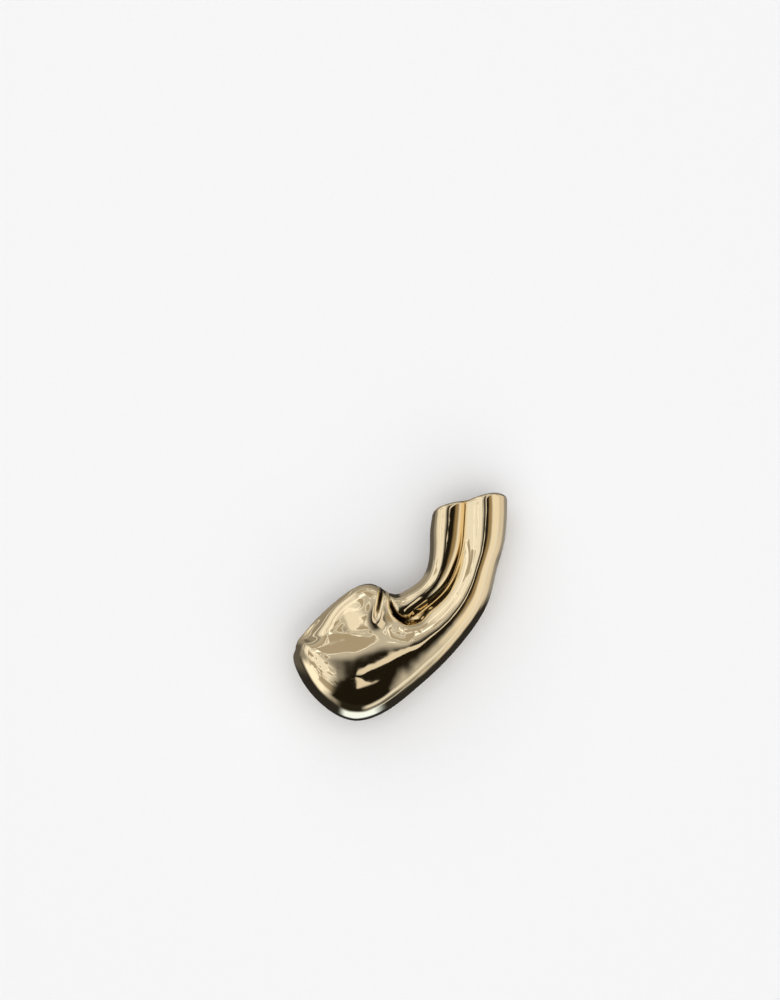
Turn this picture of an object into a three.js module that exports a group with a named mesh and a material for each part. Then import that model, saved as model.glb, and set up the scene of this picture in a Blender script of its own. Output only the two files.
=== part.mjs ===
import * as THREE from 'three';

// A sculptural ear cuff, cast in one piece of gold-plated brass and polished to a mirror.
// A puffed pouch holds the earlobe, and two tube-like ridges run from it up the ear's edge.
// Seen in section the shell is a C that the ear's edge slides into: a front with the ridges,
// a wall round the outside, and a flat leaf behind the ear.
//
// Millimetres, +Z up. The cuff lies on its leaf with its front up: +X is to the right and
// +Y is up the ear for someone who looks at the front. z = 0 is the face it rests on, and the
// origin lies there under the middle of its outline.

// Driving dimensions
const CUFF_WIDTH = 31.0; // from the pouch's left corner to the outer ridge
const CUFF_LENGTH = 33.2; // from the pouch's foot to the outer ridge's end
const WALL = 1.2; // thickness of the metal
const EAR_GAP = 5.0; // room for the ear between the leaf and the front's free edge
const RIDGE_RISE = 3.6; // crests of the two ridges above the ear's face
const GROOVE_DEPTH = 1.9; // valley between the ridges below their crests
const POUCH_RISE = 6.2; // top of the pouch above the ear's face
const EDGE_RISE = 1.6; // most that the front's free edge stands off the ear's face
const WAIST_HEIGHT = 5.2; // level at which the outer wall is widest
const FOOT_RADIUS = 3.0; // rounding from the outer wall to the leaf
const END_SLANT = 15; // degrees that the ridges' ends lean outwards with height
const CREASE_DEPTH = 1.0; // deepest fold between the ridge's end and the pouch
const CREASE_WIDTH = 0.75; // half width of those folds

// Fineness of the mesh
const STATION_STEPS = 4; // loops from one row of the station table to the next
const PROFILE_STEPS = [4, 6, 6, 8, 6, 4]; // points along each of the six arcs of a section
const CAP_ANGLES = [45, 75]; // degrees at which the ridges' rounded end has loops
const RIM_ANGLES = [55, 125]; // degrees at which the rounded free edges have points

const EAR_FACE = WALL + EAR_GAP; // level of the ear's front, above the leaf
const SLANT_ROWS = 2; // rows of the station table over which the lean of the ends fades out
const ROUND_HANDLE = 0.552; // Bezier handle of a quarter circle
const CREST_HANDLE = 0.5; // handle beside a crest: broad and round
const VALLEY_HANDLE = 0.3; // handle on the groove's gentle side, by the inner ridge
const WALL_HANDLE = 0.16; // handle on the groove's steep side, by the outer ridge
const VALLEY_TURN = 45; // degrees of the gentle side at the groove's bottom
const GROOVE_TURN = 80; // degrees from that side to the steep one
const FULL_TURN_AT = 0.4; // share of the groove's depth from which both turns are full

// One section in each row, from the ridges' ends down round the pouch to its left corner.
// rootX, rootY: the front's free edge; rimX, rimY: the widest point of the outer wall,
//   as shares of the cuff's width and length from its middle
// edge: how far the front's free edge stands off the ear's face, as a share of EDGE_RISE
// roll: 1 where the free edge turns square down to the ear, 0 where it runs out flat
// innerAt, grooveAt, crestAt: place of the inner crest, the groove and the main crest, as
//   shares of the way from the root to the rim
// inner: rise of the inner crest, as a share of RIDGE_RISE
// groove: depth of the groove below the inner crest, as a share of GROOVE_DEPTH; below
//   zero, the surface climbs there
// swell: 0 where the main crest is as high as a ridge, 1 where it is as high as the pouch
// waist: level of the widest point, as a share of WAIST_HEIGHT
// foot: rounding to the leaf, as a share of FOOT_RADIUS
// leafAt: where the leaf ends, as a share of the way from the root to the rim
// metal: thickness there, as a share of WALL
const STATIONS = table(`
  rootX  rootY   rimX   rimY  edge  roll innerAt inner grooveAt groove crestAt swell waist  foot leafAt metal
   .153   .381   .503   .461   .00  1.00     .21   .92      .45    .45     .74   .00   .98  1.00    .42  1.00
   .140   .326   .500   .376   .00  1.00     .20   .95      .44    .48     .73   .07   .99  1.00    .38  1.00
   .138   .256   .486   .266   .00  1.00     .19   .98      .43    .52     .72   .14  1.00  1.00    .34  1.00
   .126   .170   .454   .162   .02  1.00     .19  1.00      .41    .57     .71   .23  1.00  1.00    .31  1.00
   .084   .107   .417   .026   .06  1.00     .19  1.03      .38    .64     .69   .35  1.00  1.00    .28  1.00
   .024   .070   .334  -.109   .20  1.00     .18  1.05      .35    .66     .69   .50  1.00  1.00    .26  1.00
  -.027   .054   .207  -.248   .46   .85     .17  1.02      .33    .46     .66   .65  1.02  1.00    .24  1.00
  -.083   .076   .067  -.368   .84   .55     .13   .97      .34   -.26     .66   .80  1.04  1.00    .22  1.00
  -.135   .095  -.065  -.461  1.00   .42     .11   .98      .33   -.54     .68   .92  1.06  1.00    .20  1.00
  -.196   .084  -.210  -.502  1.00   .38     .11   .95      .33   -.60     .68  1.00  1.08  1.00    .20  1.00
  -.256   .052  -.340  -.450   .83   .36     .11   .88      .33   -.62     .67   .93  1.10  1.00    .20  1.00
  -.326   .000  -.434  -.361   .58   .36     .13   .77      .34   -.58     .62   .70  1.12   .95    .20  1.00
  -.399  -.067  -.486  -.274   .59   .36     .18   .59      .34   -.36     .50   .20  1.16   .90    .19   .96
  -.443  -.112  -.499  -.222   .72   .36     .17   .60      .30   -.14     .42  -.33  1.20   .78    .23   .76
  -.469  -.141  -.492  -.199   .80   .40     .20   .56      .32   -.04     .44  -.56  1.22   .36    .22   .62
`);

// Folds where the inner ridge's rounded end sinks into the pouch, one in each row of points.
// x, y: shares of the cuff's width and length from its middle
// depth: share of CREASE_DEPTH there; below zero, the metal stands up
// reach: half width there, as a share of CREASE_WIDTH
const PINCH = table(`
      x      y  depth  reach
  -.084   .080    .95    .80
  -.092   .040   1.00    .80
  -.103  -.010    .85    .80
  -.110  -.056    .10    .90
`);
const RIDGE_END = table(`
      x      y  depth  reach
  -.051   .054    .40    .80
  -.042   .004    .90    .90
  -.026  -.028   1.00   1.00
   .000  -.050   1.00   1.10
   .035  -.062    .80   1.30
   .085  -.056    .35   1.50
   .120  -.026    .05   1.50
`);
const DIMPLE = table(`
      x      y  depth  reach
  -.060  -.058   -.28   1.10
  -.056  -.062   -.28   1.10
`);

const FOLDS = [PINCH, RIDGE_END, DIMPLE];

// Rows of named numbers from a text block whose first line names the columns.
function table(text) {
  const [names, ...rows] = text.trim().split('\n').map((line) => line.trim().split(/\s+/));
  return rows.map((row) => Object.fromEntries(names.map((name, i) => [name, Number(row[i])])));
}

// A natural cubic spline through values at 0, 1, 2 ..., even in slope and in bend.
function spline(values) {
  const last = values.length - 1;
  const bend = values.map(() => 0);
  const carry = values.map(() => 0);
  for (let i = 1; i < last; i++) {
    const pivot = 4 - carry[i - 1];
    carry[i] = 1 / pivot;
    bend[i] = (6 * (values[i + 1] - 2 * values[i] + values[i - 1]) - bend[i - 1]) / pivot;
  }
  for (let i = last - 1; i > 0; i--) bend[i] -= carry[i] * bend[i + 1];
  return (u) => {
    const i = Math.min(Math.floor(u), last - 1);
    const b = u - i;
    const a = 1 - b;
    return a * values[i] + b * values[i + 1]
      + ((a ** 3 - a) * bend[i] + (b ** 3 - b) * bend[i + 1]) / 6;
  };
}

const columns = Object.fromEntries(
  Object.keys(STATIONS[0]).map((name) => [name, spline(STATIONS.map((row) => row[name]))]),
);

// The section at station u: its root and rim in plan, and its levels in millimetres.
function sectionAt(u) {
  const at = Object.fromEntries(Object.entries(columns).map(([name, value]) => [name, value(u)]));
  const root = new THREE.Vector2(at.rootX * CUFF_WIDTH, at.rootY * CUFF_LENGTH);
  const rim = new THREE.Vector2(at.rimX * CUFF_WIDTH, at.rimY * CUFF_LENGTH);
  const reach = root.distanceTo(rim);
  const inner = EAR_FACE + at.inner * RIDGE_RISE;
  return {
    root,
    out: rim.clone().sub(root).normalize(),
    roll: at.roll,
    metal: at.metal * WALL,
    valley: Math.max(at.groove, 0),
    edge: { s: 0, z: EAR_FACE + WALL / 2 + at.edge * EDGE_RISE },
    inner: { s: at.innerAt * reach, z: inner },
    groove: { s: at.grooveAt * reach, z: inner - at.groove * GROOVE_DEPTH },
    crest: {
      s: at.crestAt * reach,
      z: EAR_FACE + THREE.MathUtils.lerp(RIDGE_RISE, POUCH_RISE, at.swell),
    },
    rim: { s: reach, z: at.waist * WAIST_HEIGHT },
    foot: { s: reach - at.foot * FOOT_RADIUS, z: 0 },
    leaf: { s: at.leafAt * reach, z: 0 },
  };
}

// Slope at a node between two others: level at a crest or a valley, even between.
function slopeAt(before, node, after) {
  const rise = (node.z - before.z) / (node.s - before.s);
  const next = (after.z - node.z) / (after.s - node.s);
  return rise * next > 0 ? (2 * rise * next) / (rise + next) : 0;
}

// Points of one Bezier arc in a section, without its last point.
function arc(from, fromHandle, toHandle, to, steps) {
  const curve = new THREE.CubicBezierCurve(
    new THREE.Vector2(from.s, from.z),
    new THREE.Vector2(from.s + fromHandle[0], from.z + fromHandle[1]),
    new THREE.Vector2(to.s + toHandle[0], to.z + toHandle[1]),
    new THREE.Vector2(to.s, to.z),
  );
  return curve.getPoints(steps).slice(0, -1);
}

// The outside of a section, from the front's free edge over the ridges, round the wall and
// along the leaf, as points (s, z) with s measured from the root.
function profileOf(section) {
  const { roll, valley, edge, inner, groove, crest, rim, foot, leaf } = section;
  const innerSlope = slopeAt(edge, inner, groove);
  const climb = slopeAt(inner, groove, crest);
  const full = Math.min(valley / FULL_TURN_AT, 1);
  const down = full * VALLEY_TURN;
  const up = full * (GROOVE_TURN - VALLEY_TURN);
  const slope = (degrees) => Math.tan(THREE.MathUtils.degToRad(degrees));
  const toGroove = groove.s - inner.s;
  const toCrest = crest.s - groove.s;
  const along = (ds, slope) => [ds, ds * slope];
  return [
    ...arc(edge, [ROUND_HANDLE * (1 - roll) * inner.s, ROUND_HANDLE * (inner.z - edge.z)],
      along(-ROUND_HANDLE * inner.s, innerSlope), inner, PROFILE_STEPS[0]),
    ...arc(inner, along(CREST_HANDLE * toGroove, innerSlope),
      along(-VALLEY_HANDLE * toGroove, climb - slope(down)), groove, PROFILE_STEPS[1]),
    ...arc(groove, along(WALL_HANDLE * toCrest, climb + slope(up)),
      [-CREST_HANDLE * toCrest, 0], crest, PROFILE_STEPS[2]),
    ...arc(crest, [ROUND_HANDLE * (rim.s - crest.s), 0],
      [0, ROUND_HANDLE * (crest.z - rim.z)], rim, PROFILE_STEPS[3]),
    ...arc(rim, [0, (1 - ROUND_HANDLE) * (rim.s - foot.s) - rim.z],
      [ROUND_HANDLE * (rim.s - foot.s), 0], foot, PROFILE_STEPS[4]),
    ...arc(foot, [(leaf.s - foot.s) / 3, 0], [(foot.s - leaf.s) / 3, 0], leaf, PROFILE_STEPS[5]),
    new THREE.Vector2(leaf.s, leaf.z),
  ];
}

// How far a fold lowers the metal at (x, y): deepest on its line, gone at its reach.
function foldDepth(fold, x, y) {
  let depth = 0;
  for (let i = 1; i < fold.length; i++) {
    const [a, b] = [fold[i - 1], fold[i]];
    const line = new THREE.Line3(
      new THREE.Vector3(a.x * CUFF_WIDTH, a.y * CUFF_LENGTH, 0),
      new THREE.Vector3(b.x * CUFF_WIDTH, b.y * CUFF_LENGTH, 0),
    );
    const point = new THREE.Vector3(x, y, 0);
    const t = line.closestPointToPointParameter(point, true);
    const away = line.at(t, new THREE.Vector3()).distanceTo(point);
    const reach = THREE.MathUtils.lerp(a.reach, b.reach, t) * CREASE_WIDTH;
    const here = THREE.MathUtils.lerp(a.depth, b.depth, t) * CREASE_DEPTH
      * Math.exp(-((away / reach) ** 2));
    if (Math.abs(here) > Math.abs(depth)) depth = here;
  }
  return depth;
}

// The inside of a section: its outside drawn in square by the thickness of the metal.
function insideOf(profile, metal) {
  return profile.map((p, j) => {
    const before = profile[Math.max(j - 1, 0)];
    const after = profile[Math.min(j + 1, profile.length - 1)];
    const inward = new THREE.Vector2(after.y - before.y, before.x - after.x).normalize();
    return p.clone().addScaledVector(inward, metal);
  });
}

// Sets points (s, z) of the section at station u in the cuff, leaning near the ridges' end.
function placed(points, section, u) {
  const { root, out, rim } = section;
  const lean = Math.tan(THREE.MathUtils.degToRad(END_SLANT)) * Math.max(0, 1 - u / SLANT_ROWS) ** 2;
  return points.map(({ x: s, y: z }) => new THREE.Vector3(
    root.x + out.x * s - out.y * lean * (z - rim.z),
    root.y + out.y * s + out.x * lean * (z - rim.z),
    z,
  ));
}

// The closed loop round the metal at one station: the outside, the rounded edge of the leaf,
// the inside and the rounded free edge of the front.
function metalLoop(outside, inside) {
  const last = outside.length - 1;
  const rimArc = (from, to, beyond) => {
    const middle = from.clone().add(to).divideScalar(2);
    const spoke = from.clone().sub(middle);
    const push = beyond.clone().normalize().multiplyScalar(spoke.length());
    return RIM_ANGLES.map(THREE.MathUtils.degToRad).map((angle) => middle.clone()
      .addScaledVector(spoke, Math.cos(angle))
      .addScaledVector(push, Math.sin(angle)));
  };
  return [
    ...outside,
    ...rimArc(outside[last], inside[last], outside[last].clone().sub(outside[last - 1])),
    ...[...inside].reverse(),
    ...rimArc(inside[0], outside[0], outside[0].clone().sub(outside[1])),
  ];
}

// The place that each point of a loop draws in to where an end is rounded over: the middle
// of the metal beside it.
function middleOf(loop, sideCount) {
  const rim = RIM_ANGLES.length;
  const middle = (j) => loop[j].clone().add(loop[2 * sideCount + rim - 1 - j]).divideScalar(2);
  return loop.map((_, j) => {
    if (j < sideCount) return middle(j);
    if (j < sideCount + rim) return middle(sideCount - 1);
    if (j < 2 * sideCount + rim) return middle(2 * sideCount + rim - 1 - j);
    return middle(0);
  });
}

// Loops that round the ridges' end over, from the first station outwards.
function roundedEnd(loop, previous, sideCount) {
  const middle = middleOf(loop, sideCount);
  const before = middleOf(previous, sideCount);
  return CAP_ANGLES.map(THREE.MathUtils.degToRad).map((angle) => loop.map((p, j) => {
    const onward = middle[j].clone().sub(before[j]).normalize();
    return middle[j].clone().lerp(p, Math.cos(angle))
      .addScaledVector(onward, (WALL / 2) * Math.sin(angle));
  }));
}

function cuffShell() {
  const loopCount = (STATIONS.length - 1) * STATION_STEPS + 1;
  const frontCount = PROFILE_STEPS.slice(0, 3).reduce((a, b) => a + b);
  const loops = Array.from({ length: loopCount }, (_, i) => {
    const u = i / STATION_STEPS;
    const section = sectionAt(u);
    const profile = profileOf(section);
    const outside = placed(profile, section, u);
    const inside = placed(insideOf(profile, section.metal), section, u);
    for (let j = 0; j <= frontCount; j++) {
      const { x, y } = outside[j];
      const depth = FOLDS.reduce((sum, fold) => sum + foldDepth(fold, x, y), 0);
      outside[j].z -= depth;
      inside[j].z -= depth;
    }
    return metalLoop(outside, inside);
  });
  const sideCount = PROFILE_STEPS.reduce((a, b) => a + b) + 1;
  return closedMesh([...roundedEnd(loops[0], loops[1], sideCount).reverse(), ...loops], sideCount);
}

// Joins neighbouring loops by quads and closes both ends across the metal.
function closedMesh(loops, sideCount) {
  const round = loops[0].length;
  const rim = RIM_ANGLES.length;
  const positions = loops.flat().flatMap((p) => p.toArray());
  const indices = [];
  const quad = (a, b, c, d) => indices.push(a, b, c, a, c, d);
  for (let i = 0; i + 1 < loops.length; i++) {
    for (let j = 0; j < round; j++) {
      const next = (j + 1) % round;
      quad(i * round + j, (i + 1) * round + j, (i + 1) * round + next, i * round + next);
    }
  }
  const partner = (j) => 2 * sideCount + rim - 1 - j;
  const end = (loops.length - 1) * round;
  for (let j = 0; j + 1 < sideCount; j++) {
    quad(j, j + 1, partner(j + 1), partner(j));
    quad(end + j, end + partner(j), end + partner(j + 1), end + j + 1);
  }
  const leafTip = [sideCount - 1, sideCount, sideCount + 1, sideCount + 2];
  const frontTip = [partner(0), partner(0) + 1, partner(0) + 2, 0];
  for (const [a, b, c, d] of [leafTip, frontTip]) {
    quad(a, b, c, d);
    quad(end + a, end + d, end + c, end + b);
  }
  const geometry = new THREE.BufferGeometry();
  geometry.setAttribute('position', new THREE.Float32BufferAttribute(positions, 3));
  geometry.setIndex(indices);
  geometry.computeBoundingBox();
  const middle = geometry.boundingBox.getCenter(new THREE.Vector3());
  geometry.translate(-middle.x, -middle.y, 0);
  geometry.computeVertexNormals();
  return geometry;
}

const polishedGold = new THREE.MeshStandardMaterial({
  name: 'polished gold plate', color: 0xe3cb95, roughness: 0.08, metalness: 1,
});

const shell = new THREE.Mesh(cuffShell(), polishedGold);
shell.name = 'cuff_shell';

const cuff = new THREE.Group();
cuff.name = 'ear_cuff';
cuff.add(shell);

export default cuff;
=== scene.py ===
import math

import bmesh
import bpy
from bpy.props import FloatProperty, FloatVectorProperty, PointerProperty
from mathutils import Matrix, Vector


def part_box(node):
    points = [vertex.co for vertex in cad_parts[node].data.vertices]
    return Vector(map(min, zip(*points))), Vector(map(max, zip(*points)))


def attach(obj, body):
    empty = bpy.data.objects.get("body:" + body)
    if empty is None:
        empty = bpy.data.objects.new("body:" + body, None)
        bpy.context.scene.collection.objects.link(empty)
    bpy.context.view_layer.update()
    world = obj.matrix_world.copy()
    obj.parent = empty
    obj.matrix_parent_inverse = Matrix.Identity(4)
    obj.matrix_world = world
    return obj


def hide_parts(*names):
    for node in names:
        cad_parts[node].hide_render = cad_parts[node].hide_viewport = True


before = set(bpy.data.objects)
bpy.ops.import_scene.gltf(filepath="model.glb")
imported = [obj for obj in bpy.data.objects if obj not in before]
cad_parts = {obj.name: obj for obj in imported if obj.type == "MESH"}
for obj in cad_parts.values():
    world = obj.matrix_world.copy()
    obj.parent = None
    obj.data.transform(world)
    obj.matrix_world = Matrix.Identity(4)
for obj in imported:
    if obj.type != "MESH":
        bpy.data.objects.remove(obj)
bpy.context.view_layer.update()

bl_info = {
    "name": "Ear cuff",
    "version": (1, 0, 0),
    "blender": (4, 5, 0),
    "location": "View3D > Sidebar > Ear cuff",
    "description": "Builds a polished gold ear cuff and the studio that shows it",
    "category": "Add Mesh",
}


def table(text):
    """Rows of named numbers from a text block whose first line names the columns."""
    names, *rows = [line.split() for line in text.strip().splitlines()]
    return [dict(zip(names, map(float, row))) for row in rows]


# One section in each row, from the ridges' ends down round the pouch to its left corner.
# rootX, rootY: the front's free edge; rimX, rimY: the widest point of the outer wall,
#   as shares of the cuff's width and length from its middle
# edge: how far the front's free edge stands off the ear, as a share of the edge rise
# roll: 1 where the free edge turns square down to the ear, 0 where it runs out flat
# innerAt, grooveAt, crestAt: place of the inner crest, the groove and the main crest, as
#   shares of the way from the root to the rim
# inner: rise of the inner crest, as a share of the ridge rise
# groove: depth of the groove below the inner crest, as a share of the groove depth; below
#   zero, the surface climbs there
# swell: 0 where the main crest is as high as a ridge, 1 where it is as high as the pouch
# waist: level of the widest point, as a share of the waist height
# foot: rounding to the leaf, as a share of the foot radius
# leafAt: where the leaf ends, as a share of the way from the root to the rim
# metal: thickness there, as a share of the wall
STATIONS = table("""
  rootX  rootY   rimX   rimY  edge  roll innerAt inner grooveAt groove crestAt swell waist  foot leafAt metal
   .153   .381   .503   .461   .00  1.00     .21   .92      .45    .45     .74   .00   .98  1.00    .42  1.00
   .140   .326   .500   .376   .00  1.00     .20   .95      .44    .48     .73   .07   .99  1.00    .38  1.00
   .138   .256   .486   .266   .00  1.00     .19   .98      .43    .52     .72   .14  1.00  1.00    .34  1.00
   .126   .170   .454   .162   .02  1.00     .19  1.00      .41    .57     .71   .23  1.00  1.00    .31  1.00
   .084   .107   .417   .026   .06  1.00     .19  1.03      .38    .64     .69   .35  1.00  1.00    .28  1.00
   .024   .070   .334  -.109   .20  1.00     .18  1.05      .35    .66     .69   .50  1.00  1.00    .26  1.00
  -.027   .054   .207  -.248   .46   .85     .17  1.02      .33    .46     .66   .65  1.02  1.00    .24  1.00
  -.083   .076   .067  -.368   .84   .55     .13   .97      .34   -.26     .66   .80  1.04  1.00    .22  1.00
  -.135   .095  -.065  -.461  1.00   .42     .11   .98      .33   -.54     .68   .92  1.06  1.00    .20  1.00
  -.196   .084  -.210  -.502  1.00   .38     .11   .95      .33   -.60     .68  1.00  1.08  1.00    .20  1.00
  -.256   .052  -.340  -.450   .83   .36     .11   .88      .33   -.62     .67   .93  1.10  1.00    .20  1.00
  -.326   .000  -.434  -.361   .58   .36     .13   .77      .34   -.58     .62   .70  1.12   .95    .20  1.00
  -.399  -.067  -.486  -.274   .59   .36     .18   .59      .34   -.36     .50   .20  1.16   .90    .19   .96
  -.443  -.112  -.499  -.222   .72   .36     .17   .60      .30   -.14     .42  -.33  1.20   .78    .23   .76
  -.469  -.141  -.492  -.199   .80   .40     .20   .56      .32   -.04     .44  -.56  1.22   .36    .22   .62
""")

# Folds where the inner ridge's rounded end sinks into the pouch, one in each row of points.
# x, y: shares of the cuff's width and length from its middle
# depth: share of the crease depth there; below zero, the metal stands up
# reach: half width there, as a share of the crease width
PINCH = table("""
      x      y  depth  reach
  -.084   .080    .95    .80
  -.092   .040   1.00    .80
  -.103  -.010    .85    .80
  -.110  -.056    .10    .90
""")
RIDGE_END = table("""
      x      y  depth  reach
  -.051   .054    .40    .80
  -.042   .004    .90    .90
  -.026  -.028   1.00   1.00
   .000  -.050   1.00   1.10
   .035  -.062    .80   1.30
   .085  -.056    .35   1.50
   .120  -.026    .05   1.50
""")
# Slow waves of the hand-worked wax, in the same columns and measures.
SHELF = table("""
      x      y  depth  reach
   .150  -.135    .00   7.00
   .060  -.150    .12   7.00
  -.070  -.115    .12   7.00
  -.240  -.115    .42   7.00
  -.370  -.165    .25   7.00
  -.430  -.200    .00   7.00
""")
HOLLOW = table("""
      x      y  depth  reach
  -.330  -.070    .20   5.00
  -.260  -.050    .24   5.00
""")
FOLDS = (PINCH, RIDGE_END)
WAVES = (SHELF, HOLLOW)

# The studio's walls, ceiling and screens as the polished metal mirrors them. Each row lies over
# the ones before it.
# turn: compass degrees from the right, anticlockwise; spread: degrees to each side of it
# high, low: degrees down from straight above at its upper and lower edge; blur: of its edges
# glow: brightness, 1 for white paper in full light
# warm: 0 cool daylight, 1 candle cream; below 0 bluer still, above 1 browner still
SCREENS = table("""
  turn  spread  high   low  blur  glow  warm
     0     180   -20   200     5   .34   .50
     0     180    12    84    16   .60   .50
   180      52    14    76    14  1.00   .45
   150      26    42    88    12   .98   .45
    -2      38    50   118    16   .95   .80
     8      30   -20    46    20   .30  2.00
  -150      20    68   112    12  1.25   .45
    85      70    88   200    20   .33   .70
   120      50    69    72     2  1.30   .40
   112      62    46    49     2  1.25   .40
   130      40    97   100     2  1.00   .40
   115       5    47    53     6  1.60   .10
   -98      78   104   200    14   .03   .60
     0      24   100   134    14   .75   .80
    30      14   118   200    12   .12   .60
   -52      50    85    98     7   .95   .40
   -50      50   110   114     3   .70   .40
   -28      20    98   120    12   .85   .70
    85      24   112   200    14   .05   .60
   180      24   112   200    14   .12   .60
""")
# The dark side of the room, towards the cuff's foot. It is drawn on the flattened sky, where
# straight above is the middle and the horizon is 1 away from it.
DARK_MIDDLE = 0.06  # how far its middle line is to the right
DARK_LEAN = 0.08  # how far that line leans left for each step towards the foot
DARK_HALF = 0.14  # half its width straight above
DARK_SPREAD = 0.52  # half width gained for each step towards the foot
DARK_FLARE = 0.10  # and for each square of those steps
DARK_TOP = 0.27  # where it ends past straight above
DARK_SOFT = 0.065  # half the blur of its edges
DARK_LOW = 88  # degrees down from straight above where it ends
DARK_LOW_BLUR = 12  # degrees over which it fades there
DARK_GLOW = 0.012  # brightness, as in the table
DARK_WARM = 1.7  # and warmth

# Low screens that lie over the dark side's end, in the same columns.
LOW_SCREENS = table("""
  turn  spread  high   low  blur  glow  warm
   -98      20    80   106    10   .02  1.40
    64      18     4    34     6   .85   .70
   -70      16     2    27     6   .85   .70
   -88      24   109   140    12  1.25  -.50
""")

# Furniture and shelves of the room, as soft blots with bright edges, seen to the left.
CLUTTER_SCALE = 2.6  # blots across one unit of the sky
CLUTTER_LEVEL = 0.52  # how much of the sky stays free of blots, from 0 to 1
CLUTTER_GLOW = 0.44  # brightness of a blot
CLUTTER_WARM = 1.0  # and its warmth
CLUTTER_SOFT = 0.03  # how far the noise climbs from a blot's edge to its full shade
EDGE_GLOW = 1.3  # brightness of the lines round the blots
EDGE_WARM = 0.4  # and their warmth
EDGE_OFF = 0.01  # how far below a blot's edge the noise is on such a line
EDGE_HALF = 0.008  # half the line's width, and its blur, in the same measure
EDGE_BLUR = 0.006
CLUTTER_PLACE = {"turn": 155, "spread": 95, "high": 9, "low": 76, "blur": 14}

# Lamps that light the paper evenly from above and aren't seen in the metal.
# turn, tilt: compass degrees and degrees down from straight above; size in metres
LAMPS = table("""
  turn  tilt  size  watts  warm
   120    25   2.0   11.6   .20
   -60    25   2.0   10.8   .20
""")
LAMP_DISTANCE = 0.9  # metres from the cuff


def linear(sheet_colour):
    """An sRGB hex colour as linear red, green and blue."""
    channels = [int(sheet_colour[i:i + 2], 16) / 255 for i in (1, 3, 5)]
    return [c / 12.92 if c <= 0.04045 else ((c + 0.055) / 1.055) ** 2.4 for c in channels]


def length(name, description, default):
    return FloatProperty(name=name, description=description, default=default, min=0.0,
                         unit="LENGTH", precision=5)


def colour(name, description, default):
    return FloatVectorProperty(name=name, description=description, subtype="COLOR", size=3,
                               min=0.0, max=1.0, default=linear(default))


class CuffSizes(bpy.types.PropertyGroup):
    width: length("Width", "From the pouch's left corner to the outer ridge", 0.0310)
    length: length("Length", "From the pouch's foot to the outer ridge's end", 0.0332)
    wall: length("Wall", "Thickness of the metal", 0.0012)
    ear_gap: length("Ear gap", "Room for the ear between leaf and front", 0.0050)
    ridge_rise: length("Ridge rise", "Crests of the two ridges above the ear", 0.0036)
    groove_depth: length("Groove depth", "Valley between the ridges below their crests", 0.0019)
    pouch_rise: length("Pouch rise", "Top of the pouch above the ear", 0.0062)
    edge_rise: length("Edge rise", "Most that the front's free edge stands off the ear", 0.0016)
    waist_height: length("Waist height", "Level at which the outer wall is widest", 0.0052)
    foot_radius: length("Foot radius", "Rounding from the outer wall to the leaf", 0.0030)
    crease_depth: length("Crease depth", "Deepest fold at the inner ridge's end", 0.0007)
    crease_width: length("Crease width", "Half width of those folds", 0.00032)
    end_slant: FloatProperty(
        name="End slant", description="Lean of the ridges' ends outwards with height",
        default=math.radians(15), subtype="ANGLE")


class GoldFinish(bpy.types.PropertyGroup):
    gold: colour("Gold", "Colour of the polished plate", "#F6E9C9")
    deep_gold: colour("Deep gold", "Colour where the plate is thickest", "#F1E0BA")
    # Painted reflection: a deeper gold laid along the groove's bottom, standing in for gold mirrored in gold
    # there.
    groove_reflection_gold: colour("Painted groove reflection", "Colour of the painted reflection in the groove", "#EBCB8E")
    # Painted shade: a dark colour laid into the bottoms of the folds, standing in for the dark reflections
    # there.
    paste: colour("Painted fold shade", "Colour of the painted shade in the folds", "#2E2018")
    roughness: FloatProperty(
        name="Roughness", description="Blur of the polish", default=0.045, min=0.0, max=1.0)


class StudioLook(bpy.types.PropertyGroup):
    paper: colour("Paper", "Colour of the sheet that the cuff lies on", "#F4F3F1")
    cool: colour("Cool light", "Daylight on the screens", "#F2F7FF")
    warm: colour("Warm light", "Lamplight on the screens", "#FFF0DC")
    brightness: FloatProperty(
        name="Brightness", description="Strength of all lamps", default=1.0, min=0.0)


def spline(values):
    """A natural cubic spline through values at 0, 1, 2 ..., even in slope and in bend."""
    last = len(values) - 1
    bend = [0.0] * len(values)
    carry = [0.0] * len(values)
    for i in range(1, last):
        pivot = 4 - carry[i - 1]
        carry[i] = 1 / pivot
        curve = 6 * (values[i + 1] - 2 * values[i] + values[i - 1])
        bend[i] = (curve - bend[i - 1]) / pivot
    for i in range(last - 1, 0, -1):
        bend[i] -= carry[i] * bend[i + 1]

    def at(u):
        i = min(int(u), last - 1)
        b = u - i
        a = 1 - b
        return (a * values[i] + b * values[i + 1]
                + ((a ** 3 - a) * bend[i] + (b ** 3 - b) * bend[i + 1]) / 6)
    return at


def mix(a, b, t):
    return a + (b - a) * t


class Section:
    """The cuff's section at station u: its root and rim in plan, and its nodes (s, z)."""

    def __init__(self, columns, sizes, u):
        at = {name: column(u) for name, column in columns.items()}
        self.root = Vector((at["rootX"] * sizes.width, at["rootY"] * sizes.length))
        rim = Vector((at["rimX"] * sizes.width, at["rimY"] * sizes.length))
        reach = (rim - self.root).length
        self.out = (rim - self.root).normalized()
        self.roll = at["roll"]
        self.valley = max(at["groove"], 0.0)
        self.metal = at["metal"] * sizes.wall
        face = sizes.wall + sizes.ear_gap
        rise = face + at["inner"] * sizes.ridge_rise
        crest = face + mix(sizes.ridge_rise, sizes.pouch_rise, at["swell"])
        self.edge = Vector((0, face + sizes.wall / 2 + at["edge"] * sizes.edge_rise))
        self.inner = Vector((at["innerAt"] * reach, rise))
        self.groove = Vector((at["grooveAt"] * reach, rise - at["groove"] * sizes.groove_depth))
        self.crest = Vector((at["crestAt"] * reach, crest))
        self.rim = Vector((reach, at["waist"] * sizes.waist_height))
        self.foot = Vector((reach - at["foot"] * sizes.foot_radius, 0))
        self.leaf = Vector((at["leafAt"] * reach, 0))


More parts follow.
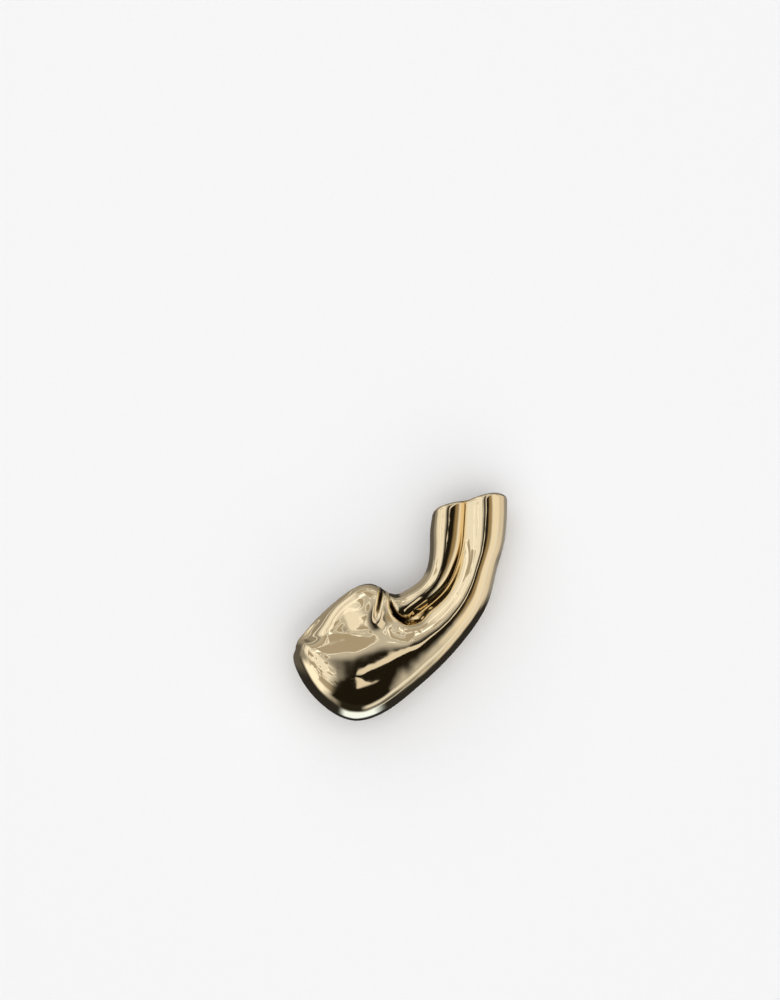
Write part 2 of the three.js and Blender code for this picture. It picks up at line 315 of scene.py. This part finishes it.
def slope_at(before, node, after):
    """Slope at a node between two others: level at a crest or a valley, even between."""
    rise = (node.y - before.y) / (node.x - before.x)
    onward = (after.y - node.y) / (after.x - node.x)
    return 2 * rise * onward / (rise + onward) if rise * onward > 0 else 0.0


def arc(start, start_handle, end_handle, end, steps):
    """Points of one Bezier arc in a section, without its last point."""
    b = start + Vector(start_handle)
    c = end + Vector(end_handle)
    points = []
    for i in range(steps):
        t = i / steps
        r = 1 - t
        points.append(r ** 3 * start + 3 * r * r * t * b + 3 * r * t * t * c + t ** 3 * end)
    return points


ROUND_HANDLE = 0.552  # Bezier handle of a quarter circle
CREST_HANDLE = 0.50  # handle beside a crest: broad and round
VALLEY_HANDLE = 0.30  # handle on the groove's gentle side, by the inner ridge
WALL_HANDLE = 0.16  # handle on the groove's steep side, by the outer ridge
VALLEY_TURN = math.radians(45)  # slope of the gentle side at the groove's bottom
GROOVE_TURN = math.radians(80)  # turn from that side to the steep one
FULL_TURN_AT = 0.4  # share of the groove's depth from which both turns are full
ARC_STEPS = (14, 15, 15, 15, 7, 5)  # points along each of the six arcs of a section
SMOOTHINGS = 4  # passes that even out the bend where two arcs meet


def outside_of(section):
    """The outside of a section, from the front's free edge round to the leaf's end."""
    edge, inner, groove = section.edge, section.inner, section.groove
    crest, rim, foot, leaf = section.crest, section.rim, section.foot, section.leaf
    inner_slope = slope_at(edge, inner, groove)
    climb = slope_at(inner, groove, crest)
    full = min(section.valley / FULL_TURN_AT, 1.0)
    valley = VALLEY_TURN * full
    wall = (GROOVE_TURN - VALLEY_TURN) * full
    down, up = climb - math.tan(valley), climb + math.tan(wall)
    to_groove = groove.x - inner.x
    to_crest = crest.x - groove.x
    to_foot = rim.x - foot.x

    def along(ds, slope):
        return ds, ds * slope

    flat = ROUND_HANDLE * (1 - section.roll) * inner.x
    points = [
        *arc(edge, (flat, ROUND_HANDLE * (inner.y - edge.y)),
             along(-ROUND_HANDLE * inner.x, inner_slope), inner, ARC_STEPS[0]),
        *arc(inner, along(CREST_HANDLE * to_groove, inner_slope),
             along(-VALLEY_HANDLE * to_groove, down), groove, ARC_STEPS[1]),
        *arc(groove, along(WALL_HANDLE * to_crest, up),
             (-CREST_HANDLE * to_crest, 0), crest, ARC_STEPS[2]),
        *arc(crest, (ROUND_HANDLE * (rim.x - crest.x), 0),
             (0, ROUND_HANDLE * (crest.y - rim.y)), rim, ARC_STEPS[3]),
        *arc(rim, (0, (1 - ROUND_HANDLE) * to_foot - rim.y),
             (ROUND_HANDLE * to_foot, 0), foot, ARC_STEPS[4]),
        *arc(foot, ((leaf.x - foot.x) / 3, 0), ((foot.x - leaf.x) / 3, 0), leaf, ARC_STEPS[5]),
        leaf.copy(),
    ]
    for _ in range(SMOOTHINGS):
        inward = zip(points, points[1:], points[2:])
        points[1:-1] = [(a + 2 * b + c) / 4 for a, b, c in inward]
    return points


def inside_of(points, metal):
    """The inside of a section: its outside drawn in square by the thickness of the metal."""
    drawn = []
    for j, point in enumerate(points):
        before = points[max(j - 1, 0)]
        after = points[min(j + 1, len(points) - 1)]
        inward = Vector((after.y - before.y, before.x - after.x)).normalized()
        drawn.append(point + inward * metal)
    return drawn


FOLD_FALL = 1.6  # how steeply a fold's sides fall: 1 for a pointed one, 2 for a round one


def fold_depth(fold, x, y, sizes):
    """How far a fold lowers the metal at (x, y): deepest on its line, gone at its reach."""
    depth = 0.0
    for a, b in zip(fold, fold[1:]):
        start = Vector((a["x"] * sizes.width, a["y"] * sizes.length))
        run = Vector((b["x"] * sizes.width, b["y"] * sizes.length)) - start
        offset = Vector((x, y)) - start
        t = min(max(offset.dot(run) / run.length_squared, 0.0), 1.0)
        away = (offset - run * t).length
        reach = mix(a["reach"], b["reach"], t) * sizes.crease_width
        here = (mix(a["depth"], b["depth"], t) * sizes.crease_depth
                * math.exp(-(away / reach) ** FOLD_FALL))
        if abs(here) > abs(depth):
            depth = here
    return depth


SLANT_ROWS = 2  # rows of the station table over which the lean of the ends fades out


def placed(points, section, u, slant):
    """Points (s, z) of a section set in the cuff, leaning near the ridges' end."""
    lean = math.tan(slant) * max(0.0, 1 - u / SLANT_ROWS) ** 2
    out = section.out
    across = Vector((-out.y, out.x))
    spots = []
    for point in points:
        plan = section.root + out * point.x + across * (lean * (point.y - section.rim.y))
        spots.append(Vector((plan.x, plan.y, point.y)))
    return spots


LIP_ANGLES = (30, 60, 90, 120, 150)  # degrees at which the rounded lips have points
CAP_ANGLES = (18, 36, 54, 72, 90)  # degrees at which the rounded ends have loops


def lip(start, end, beyond):
    """Points that round a lip over, from the outside of the metal to its inside."""
    middle = (start + end) / 2
    spoke = start - middle
    push = beyond.normalized() * spoke.length
    turns = [math.radians(angle) for angle in LIP_ANGLES]
    return [middle + spoke * math.cos(t) + push * math.sin(t) for t in turns]


def metal_loop(outside, inside):
    """The closed loop round the metal at one station."""
    return [
        *outside,
        *lip(outside[-1], inside[-1], outside[-1] - outside[-2]),
        *reversed(inside),
        *lip(inside[0], outside[0], outside[0] - outside[1]),
    ]


def middle_of(loop):
    """Where each point of a loop draws in to where an end is rounded over."""
    side = sum(ARC_STEPS) + 1
    lips = len(LIP_ANGLES)
    middles = [(loop[j] + loop[2 * side + lips - 1 - j]) / 2 for j in range(side)]
    return [*middles, *[middles[-1]] * lips, *reversed(middles), *[middles[0]] * lips]


def rounded_end(loop, previous):
    """Loops that round an end of the metal over, outwards from its last loop."""
    middle = middle_of(loop)
    before = middle_of(previous)
    onward = [(m - b).normalized() for m, b in zip(middle, before)]
    loops = []
    for angle in (math.radians(a) for a in CAP_ANGLES):
        ring = []
        for p, m, way in zip(loop, middle, onward):
            ring.append(m + (p - m) * math.cos(angle)
                        + way * ((p - m).length * math.sin(angle)))
        loops.append(ring)
    loops[-1] = middle_of(loops[-1])
    return loops


ROW_STEPS = {4: 11, 5: 17, 6: 17, 7: 17, 8: 11}  # loops from a row of the table to the next
PLAIN_STEPS = 8  # and from every other row


def station_places():
    """Stations at which loops stand, closest where the folds are."""
    places = []
    for row in range(len(STATIONS) - 1):
        steps = ROW_STEPS.get(row, PLAIN_STEPS)
        places += [row + i / steps for i in range(steps)]
    return [*places, float(len(STATIONS) - 1)]


def cuff_loops(sizes):
    """Every loop of the metal, from the ridges' rounded end to the pouch's left corner."""
    columns = {name: spline([row[name] for row in STATIONS]) for name in STATIONS[0]}
    front = sum(ARC_STEPS[:3])
    loops = []
    for u in station_places():
        section = Section(columns, sizes, u)
        profile = outside_of(section)
        outside = placed(profile, section, u, sizes.end_slant)
        inside = placed(inside_of(profile, section.metal), section, u, sizes.end_slant)
        for j in range(front + 1):
            x, y = outside[j].xy
            crack = sum(fold_depth(fold, x, y, sizes) for fold in FOLDS)
            depth = crack + sum(fold_depth(wave, x, y, sizes) for wave in WAVES)
            outside[j].z -= depth
            inside[j].z -= depth
        loops.append(metal_loop(outside, inside))
    return [
        *reversed(rounded_end(loops[0], loops[1])),
        *loops,
        *rounded_end(loops[-1], loops[-2]),
    ]


# Painted shade: how deep in a fold each point lies sets how far the gold there is darkened.
PAINTED_FOLD_SHADE = "painted_fold_shade"  # how deep in a fold each point lies, from 0 to 1
# Painted reflection: nearness to the groove's bottom sets how deep a gold is painted there.
PAINTED_GROOVE_REFLECTION = "painted_groove_reflection"  # how close to the groove's bottom each point lies, from 0 to 1
GROOVE_STEPS = 5  # points of a section, to each side, over which that fades out
WELD = 1e-7  # metres within which points become one


def cuff_mesh(sizes):
    """A grid of faces laid on the loops, welded along its seam and over both ends."""
    groove = spline([max(row["groove"], 0.0) for row in STATIONS])
    loops = cuff_loops(sizes)
    rows, round_count = len(loops), len(loops[0])
    grid = bmesh.new()
    fold_shade_layer = grid.verts.layers.float.new(PAINTED_FOLD_SHADE)
    # plate: the layer of painted reflection along the groove's bottom.
    plate = grid.verts.layers.float.new(PAINTED_GROOVE_REFLECTION)
    grooves = [groove(u) for u in station_places()]
    bmesh.ops.create_grid(grid, x_segments=round_count, y_segments=rows - 1, size=1)
    for vert in grid.verts:
        j = round((vert.co.x + 1) / 2 * round_count)
        i = round((vert.co.y + 1) / 2 * (rows - 1))
        vert.co = loops[i][j % round_count]
        crack = sum(fold_depth(fold, vert.co.x, vert.co.y, sizes) for fold in FOLDS)
        vert[fold_shade_layer] = crack / sizes.crease_depth if vert.co.z > sizes.ear_gap else 0.0
        station = min(max(i - len(CAP_ANGLES), 0), len(grooves) - 1)
        near = max(1 - abs(j - sum(ARC_STEPS[:2]) + 1) / GROOVE_STEPS, 0.0)
        vert[plate] = near * min(max(grooves[station], 0.0) / FULL_TURN_AT, 1.0)
    bmesh.ops.remove_doubles(grid, verts=grid.verts, dist=WELD)
    bmesh.ops.recalc_face_normals(grid, faces=grid.faces)
    low = [min(v.co[k] for v in grid.verts) for k in range(2)]
    high = [max(v.co[k] for v in grid.verts) for k in range(2)]
    cad_low, cad_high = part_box("cuff_shell")
    shift = [(cad_low[k] + cad_high[k] - low[k] - high[k]) / 2 for k in range(2)]
    bmesh.ops.translate(grid, verts=grid.verts, vec=(*shift, 0))
    for face in grid.faces:
        face.smooth = True
    mesh = bpy.data.meshes.new("cuff")
    grid.to_mesh(mesh)
    grid.free()
    return mesh


def add_node(tree, kind, settings=None, **links):
    """Adds a node with its settings; each link names an input and gives its value or source."""
    node = tree.nodes.new(kind)
    for name, value in (settings or {}).items():
        setattr(node, name, value)
    for name, value in links.items():
        socket = node.inputs[int(name[1:])] if name[1:].isdigit() else node.inputs[name]
        if isinstance(value, bpy.types.NodeSocket):
            tree.links.new(value, socket)
        else:
            socket.default_value = value
    return node


PLATE_DRIFT = 120.0  # drifts of the plate's thickness in a metre, one each 8 mm
MARKS_ALONG, MARKS_ACROSS = 500.0, 6500.0  # felt marks in a metre, along and across the buffing
MARKS_TURN = 0.6  # radians of the buffing from the cuff's width
MARK_DEPTH = 0.0000006
MARKS_FROM, MARKS_FULL = 0.3, 0.75  # noise between which the marks blur more and more
LEAST_BLUR, MOST_BLUR = 0.6, 1.8  # shares of the roughness at those two
WAX_WAVES = 330.0  # slow waves of the wax in a metre, one each 3 mm
WAVE_DEPTH = 0.00006
GROOVE_REFLECTION_FROM, GROOVE_REFLECTION_FULL = 0.1, 0.7  # how close to the groove the painted reflection sets in
FOLD_SHADE_FROM, FOLD_SHADE_FULL = 0.25, 0.85  # how deep in a fold the painted shade sets in


def polished_gold(finish):
    """Pale yellow gold plate over cast brass, buffed by hand on a felt wheel. The eye sees a
    mirror that bends with the metal: the felt leaves hair-fine arcs that only soften the
    brightest reflections, and the casting's slow waves make their outlines wander."""
    material = bpy.data.materials.new("polished gold plate")
    material.use_nodes = True
    tree = material.node_tree
    tree.nodes.clear()
    place = add_node(tree, "ShaderNodeTexCoord").outputs["Object"]
    # The plating's thickness drifts over about 8 mm.
    drift = add_node(tree, "ShaderNodeTexNoise", Vector=place, Scale=PLATE_DRIFT, Detail=2.0)
    tint = add_node(tree, "ShaderNodeMix", {"data_type": "RGBA"}, _0=drift.outputs["Fac"],
                    _6=(*finish.gold, 1), _7=(*finish.deep_gold, 1))
    # Painted reflection: the gold is tinted deepest at the groove's bottom, standing in for gold mirrored in
    # gold there.
    groove_reflection_attribute = add_node(tree, "ShaderNodeAttribute", {"attribute_name": PAINTED_GROOVE_REFLECTION})
    groove_reflection_mask = add_node(tree, "ShaderNodeMapRange", {"interpolation_type": "SMOOTHSTEP"},
                     Value=groove_reflection_attribute.outputs["Fac"], _1=GROOVE_REFLECTION_FROM, _2=GROOVE_REFLECTION_FULL)
    tint = add_node(tree, "ShaderNodeMix", {"data_type": "RGBA"}, _0=groove_reflection_mask.outputs[0],
                    _6=tint.outputs[2], _7=(*finish.groove_reflection_gold, 1))
    # Felt marks, 0.15 mm apart and drawn out to about 2 mm along the buffing.
    turned = add_node(tree, "ShaderNodeMapping", Vector=place, Rotation=(0, 0, MARKS_TURN),
                      Scale=(MARKS_ALONG, MARKS_ACROSS, MARKS_ACROSS))
    marks = add_node(tree, "ShaderNodeTexNoise", Vector=turned.outputs["Vector"], Scale=1.0,
                     Detail=2.0, Roughness=0.6)
    blur = add_node(tree, "ShaderNodeMapRange", Value=marks.outputs["Fac"], _1=MARKS_FROM,
                    _2=MARKS_FULL, _3=finish.roughness * LEAST_BLUR,
                    _4=finish.roughness * MOST_BLUR)
    # Slow waves of the hand-worked wax, about 3 mm across.
    waves = add_node(tree, "ShaderNodeTexNoise", Vector=place, Scale=WAX_WAVES, Detail=1.0)
    swell = add_node(tree, "ShaderNodeBump", Strength=1.0, Distance=WAVE_DEPTH,
                     Height=waves.outputs["Fac"])
    brushed = add_node(tree, "ShaderNodeBump", Strength=1.0, Distance=MARK_DEPTH,
                       Height=marks.outputs["Fac"], Normal=swell.outputs["Normal"])
    # Painted shade: the gold darkens towards the bottom of the folds, in place of the dark reflections
    # there.
    fold = add_node(tree, "ShaderNodeAttribute", {"attribute_name": PAINTED_FOLD_SHADE})
    paste = add_node(tree, "ShaderNodeMapRange", {"interpolation_type": "SMOOTHSTEP"},
                     Value=fold.outputs["Fac"], _1=FOLD_SHADE_FROM, _2=FOLD_SHADE_FULL)
    surface = add_node(tree, "ShaderNodeMix", {"data_type": "RGBA"}, _0=paste.outputs[0],
                       _6=tint.outputs[2], _7=(*finish.paste, 1))
    shader = add_node(tree, "ShaderNodeBsdfPrincipled", _0=surface.outputs[2], Metallic=1.0,
                      Roughness=blur.outputs[0], Normal=brushed.outputs["Normal"])
    add_node(tree, "ShaderNodeOutputMaterial", Surface=shader.outputs[0])
    return material


PAPER_TOOTH = 3000.0  # bumps in a metre of the paper
TOOTH_DEPTH = 0.00002
TOOTH_SHADE = 0.97  # brightness at the bottom of the tooth, as a share of the paper's


def paper_sheet(look):
    """Heavy matt cotton paper, pressed smooth: soft and even, with a faint tooth of about
    0.3 mm that keeps it from looking like a blank screen."""
    material = bpy.data.materials.new("cotton paper")
    material.use_nodes = True
    tree = material.node_tree
    tree.nodes.clear()
    place = add_node(tree, "ShaderNodeTexCoord").outputs["Object"]
    tooth = add_node(tree, "ShaderNodeTexNoise", Vector=place, Scale=PAPER_TOOTH,
                     Detail=3.0)
    shade = add_node(tree, "ShaderNodeMix", {"data_type": "RGBA"}, _0=tooth.outputs["Fac"],
                     _6=(*look.paper, 1), _7=(*[c * TOOTH_SHADE for c in look.paper], 1))
    relief = add_node(tree, "ShaderNodeBump", Strength=0.3, Distance=TOOTH_DEPTH,
                      Height=tooth.outputs["Fac"])
    shader = add_node(tree, "ShaderNodeBsdfPrincipled", _0=shade.outputs[2], Roughness=0.85,
                      Normal=relief.outputs["Normal"])
    add_node(tree, "ShaderNodeOutputMaterial", Surface=shader.outputs[0])
    return material


def new_piece(name, mesh, material):
    piece = bpy.data.objects.new(name, mesh)
    bpy.context.collection.objects.link(piece)
    mesh.materials.append(material)
    return piece


class CUFF_OT_shell(bpy.types.Operator):
    """Build the gold cuff: its ridges, pouch, folds and back leaf"""
    bl_idname = "cuff.shell"
    bl_label = "Gold cuff"

    def execute(self, context):
        scene = context.scene
        piece = new_piece("gold_cuff", cuff_mesh(scene.cuff_sizes),
                          polished_gold(scene.gold_finish))
        smooth = piece.modifiers.new("smooth", "SUBSURF")
        smooth.levels = smooth.render_levels = 1
        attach(piece, "root")
        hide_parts("cuff_shell")
        return {"FINISHED"}


def studio_walls(look):
    """The studio round the cuff, painted screen over screen by compass turn and tilt."""
    world = bpy.data.worlds.new("studio")
    world.use_nodes = True
    tree = world.node_tree
    tree.nodes.clear()

    def maths(kind, a, b=0.0, c=0.0):
        return add_node(tree, "ShaderNodeMath", {"operation": kind}, _0=a, _1=b, _2=c).outputs[0]

    sky = add_node(tree, "ShaderNodeTexCoord").outputs["Generated"]
    way = add_node(tree, "ShaderNodeSeparateXYZ", Vector=sky)
    x, y, z = (way.outputs[i] for i in range(3))
    turn = maths("DEGREES", maths("ARCTAN2", y, x))
    tilt = maths("DEGREES", maths("ARCCOSINE", z))

    def within(value, half, blur):
        return add_node(tree, "ShaderNodeMapRange", {"interpolation_type": "SMOOTHSTEP"},
                        Value=maths("ABSOLUTE", value), _1=half + blur / 2,
                        _2=half - blur / 2).outputs[0]

    def seen_in(row):
        middle, half = (row["high"] + row["low"]) / 2, (row["low"] - row["high"]) / 2
        seen = within(maths("SUBTRACT", tilt, middle), half, row["blur"])
        if row["spread"] < 180:
            aside = maths("WRAP", maths("SUBTRACT", turn, row["turn"]), 180.0, -180.0)
            seen = maths("MULTIPLY", seen, within(aside, row["spread"], row["blur"]))
        return seen

    def laid_over(light, seen, glow, warm):
        shade = [glow * mix(a, b, warm) for a, b in zip(look.cool, look.warm)]
        return add_node(tree, "ShaderNodeMix", {"data_type": "RGBA"}, _0=seen, _6=light,
                        _7=(*shade, 1)).outputs[2]

    light = (0, 0, 0, 1)
    for row in SCREENS:
        light = laid_over(light, seen_in(row), row["glow"], row["warm"])
    blots = add_node(tree, "ShaderNodeTexNoise", Vector=sky, Scale=CLUTTER_SCALE, Detail=1.0,
                     Distortion=1.0).outputs["Fac"]
    place = seen_in(CLUTTER_PLACE)
    blot = add_node(tree, "ShaderNodeMapRange", {"interpolation_type": "SMOOTHSTEP"},
                    Value=blots, _1=CLUTTER_LEVEL,
                    _2=CLUTTER_LEVEL + CLUTTER_SOFT).outputs[0]
    light = laid_over(light, maths("MULTIPLY", place, blot), CLUTTER_GLOW, CLUTTER_WARM)
    line = within(maths("SUBTRACT", blots, CLUTTER_LEVEL - EDGE_OFF), EDGE_HALF, EDGE_BLUR)
    light = laid_over(light, maths("MULTIPLY", place, line), EDGE_GLOW, EDGE_WARM)

    def edge(value):
        return add_node(tree, "ShaderNodeMapRange", {"interpolation_type": "SMOOTHSTEP"},
                        Value=value, _1=-DARK_SOFT, _2=DARK_SOFT).outputs[0]

    # The sky is flattened from the point straight below, which stays just out of reach.
    flat = maths("DIVIDE", 1.0, maths("ADD", z, 1.001))
    up = maths("MULTIPLY", y, flat)
    middle = maths("ADD", maths("MULTIPLY", up, DARK_LEAN), DARK_MIDDLE)
    aside = maths("ABSOLUTE", maths("SUBTRACT", maths("MULTIPLY", x, flat), middle))
    flare = maths("MULTIPLY", maths("MULTIPLY", up, up), DARK_FLARE)
    spread = maths("MULTIPLY", maths("MAXIMUM", maths("MULTIPLY", up, -1.0), 0.0), DARK_SPREAD)
    half = maths("ADD", maths("ADD", DARK_HALF, spread), flare)
    wedge = maths("MULTIPLY", edge(maths("SUBTRACT", half, aside)),
                  edge(maths("SUBTRACT", DARK_TOP, up)))
    wedge = maths("MULTIPLY", wedge, within(tilt, DARK_LOW, DARK_LOW_BLUR))
    light = laid_over(light, wedge, DARK_GLOW, DARK_WARM)
    for row in LOW_SCREENS:
        light = laid_over(light, seen_in(row), row["glow"], row["warm"])
    background = add_node(tree, "ShaderNodeBackground", Color=light, Strength=look.brightness)
    add_node(tree, "ShaderNodeOutputWorld", Surface=background.outputs[0])
    world.cycles_visibility.diffuse = False
    return world


def direction(turn, tilt):
    """A unit vector by its compass turn and its tilt from straight above, in degrees."""
    turn, tilt = math.radians(turn), math.radians(tilt)
    return Vector((math.cos(turn) * math.sin(tilt), math.sin(turn) * math.sin(tilt),
                   math.cos(tilt)))


def hang_lamp(name, row, look):
    lamp = bpy.data.lights.new(name, "AREA")
    lamp.shape = "DISK"
    lamp.size = row["size"]
    lamp.energy = row["watts"] * look.brightness
    lamp.color = [mix(a, b, row["warm"]) for a, b in zip(look.cool, look.warm)]
    way = direction(row["turn"], row["tilt"])
    stand = bpy.data.objects.new(name, lamp)
    stand.location = way * LAMP_DISTANCE
    stand.rotation_euler = way.to_track_quat("Z", "Y").to_euler()
    stand.visible_glossy = False
    bpy.context.collection.objects.link(stand)


PIXEL = 0.0001445  # metres of the cuff's plane in one pixel of the picture
IMAGE = (780, 1000)  # the picture's width and height in pixels
CUFF_AT = (400.4, 606.8)  # the pixel that the cuff's origin is seen at
CAMERA_HEIGHT = 0.8  # of the lens above the plane where a pixel has that size
CUFF_MIDDLE = 0.0062  # level of that plane
SENSOR = 36.0  # millimetres along the picture's longer side
PAPER_HALF = 1.2  # half the sheet's width
PAPER_DROP = 0.00003  # how far the sheet lies below the leaf


class CUFF_OT_studio(bpy.types.Operator):
    """Build the studio: the paper, the soft lamps, the walls and the camera"""
    bl_idname = "cuff.studio"
    bl_label = "Studio"

    def execute(self, context):
        scene = context.scene
        look = scene.studio_look
        sheet = bmesh.new()
        bmesh.ops.create_grid(sheet, x_segments=1, y_segments=1, size=PAPER_HALF)
        bmesh.ops.translate(sheet, verts=sheet.verts, vec=(0, 0, -PAPER_DROP))
        mesh = bpy.data.meshes.new("paper")
        sheet.to_mesh(mesh)
        sheet.free()
        paper = new_piece("paper", mesh, paper_sheet(look))
        paper.visible_glossy = False
        scene.world = studio_walls(look)
        for number, row in enumerate(LAMPS, 1):
            hang_lamp(f"lamp_{number}", row, look)
        lens = bpy.data.cameras.new("camera")
        lens.sensor_width = SENSOR
        lens.lens = SENSOR * CAMERA_HEIGHT / (IMAGE[1] * PIXEL)
        camera = bpy.data.objects.new("camera", lens)
        camera.location = ((IMAGE[0] / 2 - CUFF_AT[0]) * PIXEL,
                           (CUFF_AT[1] - IMAGE[1] / 2) * PIXEL,
                           CAMERA_HEIGHT + CUFF_MIDDLE)
        context.collection.objects.link(camera)
        scene.camera = camera
        scene.view_settings.view_transform = "Standard"
        return {"FINISHED"}


class CUFF_PT_panel(bpy.types.Panel):
    bl_idname = "CUFF_PT_panel"
    bl_label = "Ear cuff"
    bl_space_type = "VIEW_3D"
    bl_region_type = "UI"
    bl_category = "Ear cuff"

    def draw(self, context):
        for group, operator in ((context.scene.cuff_sizes, None),
                                (context.scene.gold_finish, CUFF_OT_shell.bl_idname),
                                (context.scene.studio_look, CUFF_OT_studio.bl_idname)):
            for name in group.__annotations__:
                self.layout.prop(group, name)
            if operator:
                self.layout.operator(operator)


GROUPS = {"cuff_sizes": CuffSizes, "gold_finish": GoldFinish, "studio_look": StudioLook}
CLASSES = (*GROUPS.values(), CUFF_OT_shell, CUFF_OT_studio, CUFF_PT_panel)


def register():
    for item in CLASSES:
        bpy.utils.register_class(item)
    for name, group in GROUPS.items():
        setattr(bpy.types.Scene, name, PointerProperty(type=group))


def unregister():
    for name in GROUPS:
        delattr(bpy.types.Scene, name)
    for item in reversed(CLASSES):
        bpy.utils.unregister_class(item)


def main():
    register()
    bpy.ops.cuff.shell()
    bpy.ops.cuff.studio()


if __name__ == "__main__":
    main()
